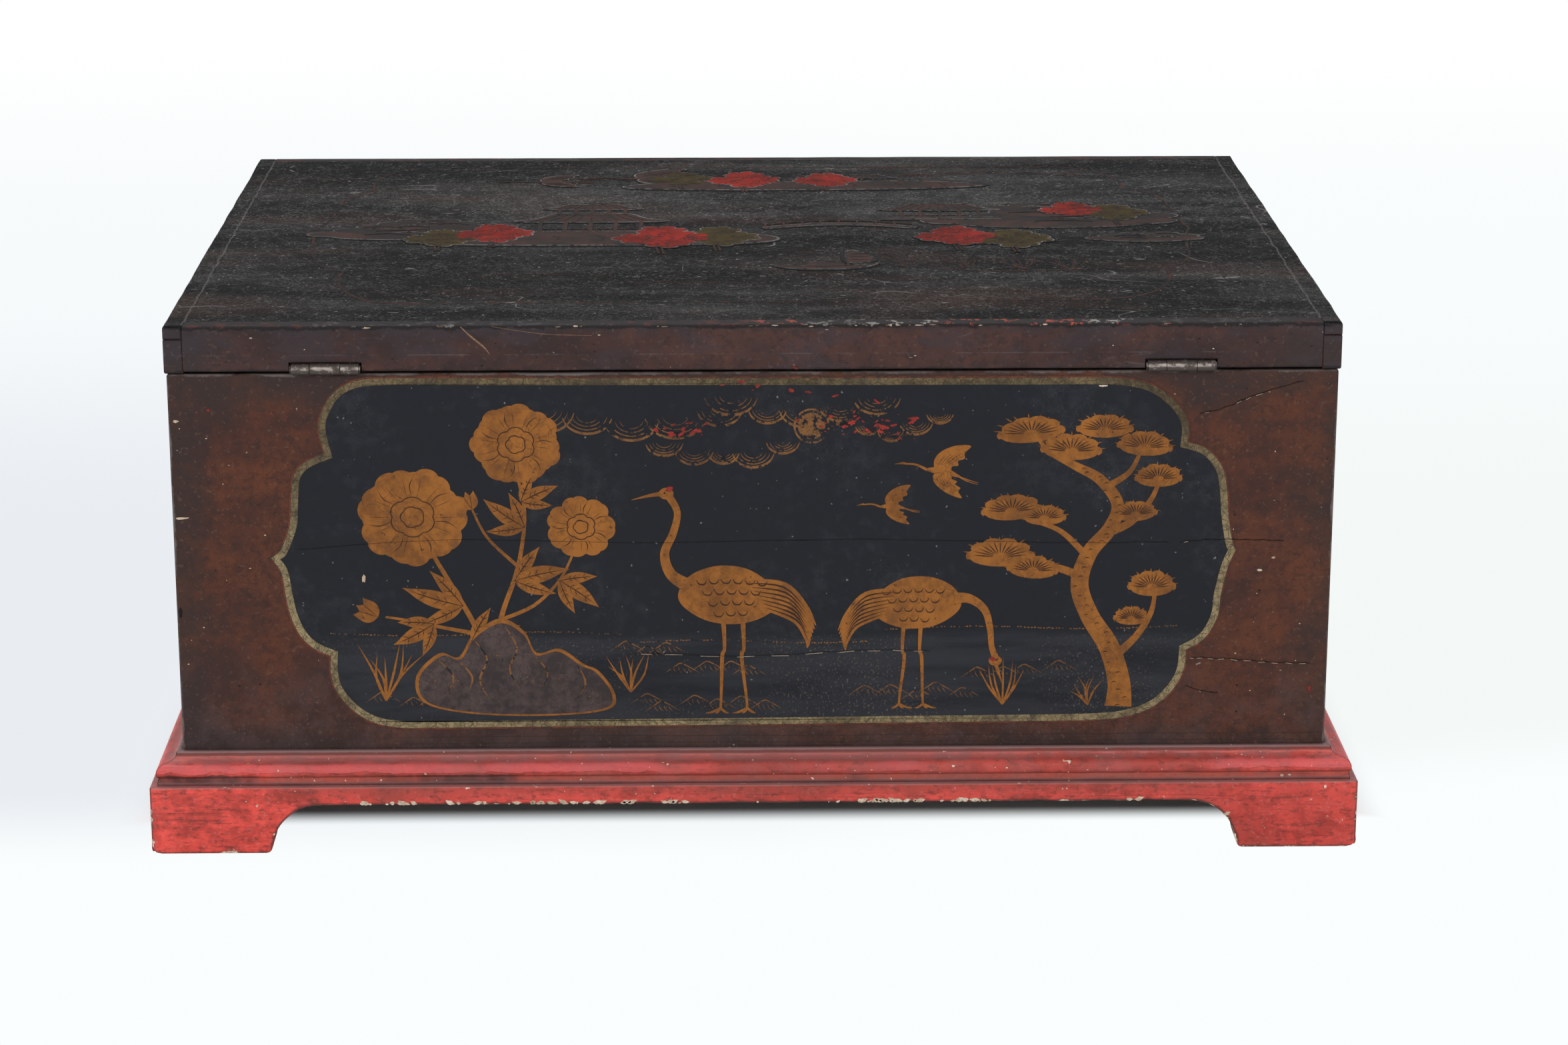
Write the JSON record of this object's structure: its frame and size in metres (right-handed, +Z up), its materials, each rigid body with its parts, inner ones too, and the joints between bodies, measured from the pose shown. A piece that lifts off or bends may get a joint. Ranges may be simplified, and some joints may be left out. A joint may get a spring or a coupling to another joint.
{
  "type": "deed box",
  "caption": "Lacquered wooden box with a hinged lid and a lock for deeds and keepsakes, on a moulded plinth with bracket feet.",
  "frame": {"origin": "on the floor under the middle of the plinth", "axes": "+Z up; -Y towards the back with the hinges, which is the side the picture shows; +Y towards the front with the lock; +X to the right as seen from the back"},
  "size_m": [0.645, 0.492, 0.2853],
  "materials": {
    "case_lacquer": "old brown-red lacquer, crackled, with raised gold painting on a black panel",
    "bare_wood": "unfinished, darkened with age",
    "plinth_lacquer": "red lacquer worn to dark brown and chipped",
    "lid_edge_lacquer": "old brown-black lacquer with worn edges",
    "lid_top_lacquer": "dull black lacquer, scratched and dusty, with raised decoration",
    "hinge_metal": "dark bronze patina",
    "lock_iron": "dull iron",
    "lock_brass": "tarnished"
  },
  "bodies": {
    "case": {"back_board": "case_lacquer", "front_board": "case_lacquer", "left_board": "case_lacquer", "right_board": "case_lacquer", "bottom_board": "bare_wood", "base_board_back": "plinth_lacquer", "base_board_right": "plinth_lacquer", "base_board_front": "plinth_lacquer", "base_board_left": "plinth_lacquer", "moulding_back": "plinth_lacquer", "moulding_right": "plinth_lacquer", "moulding_front": "plinth_lacquer", "moulding_left": "plinth_lacquer", "foot_block_back_left": "bare_wood", "foot_block_back_right": "bare_wood", "foot_block_front_right": "bare_wood", "foot_block_front_left": "bare_wood", "hinge_left_case_leaf": "hinge_metal", "hinge_right_case_leaf": "hinge_metal", "hinge_left_pin": "hinge_metal", "hinge_right_pin": "hinge_metal", "hinge_case_screws": "hinge_metal", "lock_case": "lock_brass", "lock_cap": "lock_brass", "lock_spring": "lock_iron", "lock_screws": "lock_brass", "escutcheon": "lock_brass", "escutcheon_pins": "lock_brass"},
    "lid": {"lid_board": "lid_top_lacquer", "lid_cleat_left": "lid_top_lacquer", "lid_cleat_right": "lid_top_lacquer", "lid_rail_back": "lid_edge_lacquer", "lid_rail_front": "lid_edge_lacquer", "lid_rail_left": "lid_edge_lacquer", "lid_rail_right": "lid_edge_lacquer", "hinge_left_lid_leaf": "hinge_metal", "hinge_right_lid_leaf": "hinge_metal", "hinge_lid_screws": "hinge_metal", "link_plate": "lock_brass", "link_staple_left": "lock_brass", "link_staple_right": "lock_brass", "link_plate_screws": "lock_brass"},
    "lock_bolt": {"lock_bolt": "lock_iron"}
  },
  "joints": [
    {"name": "lid_hinge", "type": "hinge", "parent": "case", "child": "lid", "pos_m": [0, -0.2295, 0.2618], "axis": [1, 0, 0], "range_deg": [0, 180]},
    {"name": "bolt_slide", "type": "slide", "parent": "case", "child": "lock_bolt", "axis": [1, 0, 0], "range_m": [0, 0.006]}
  ]
}
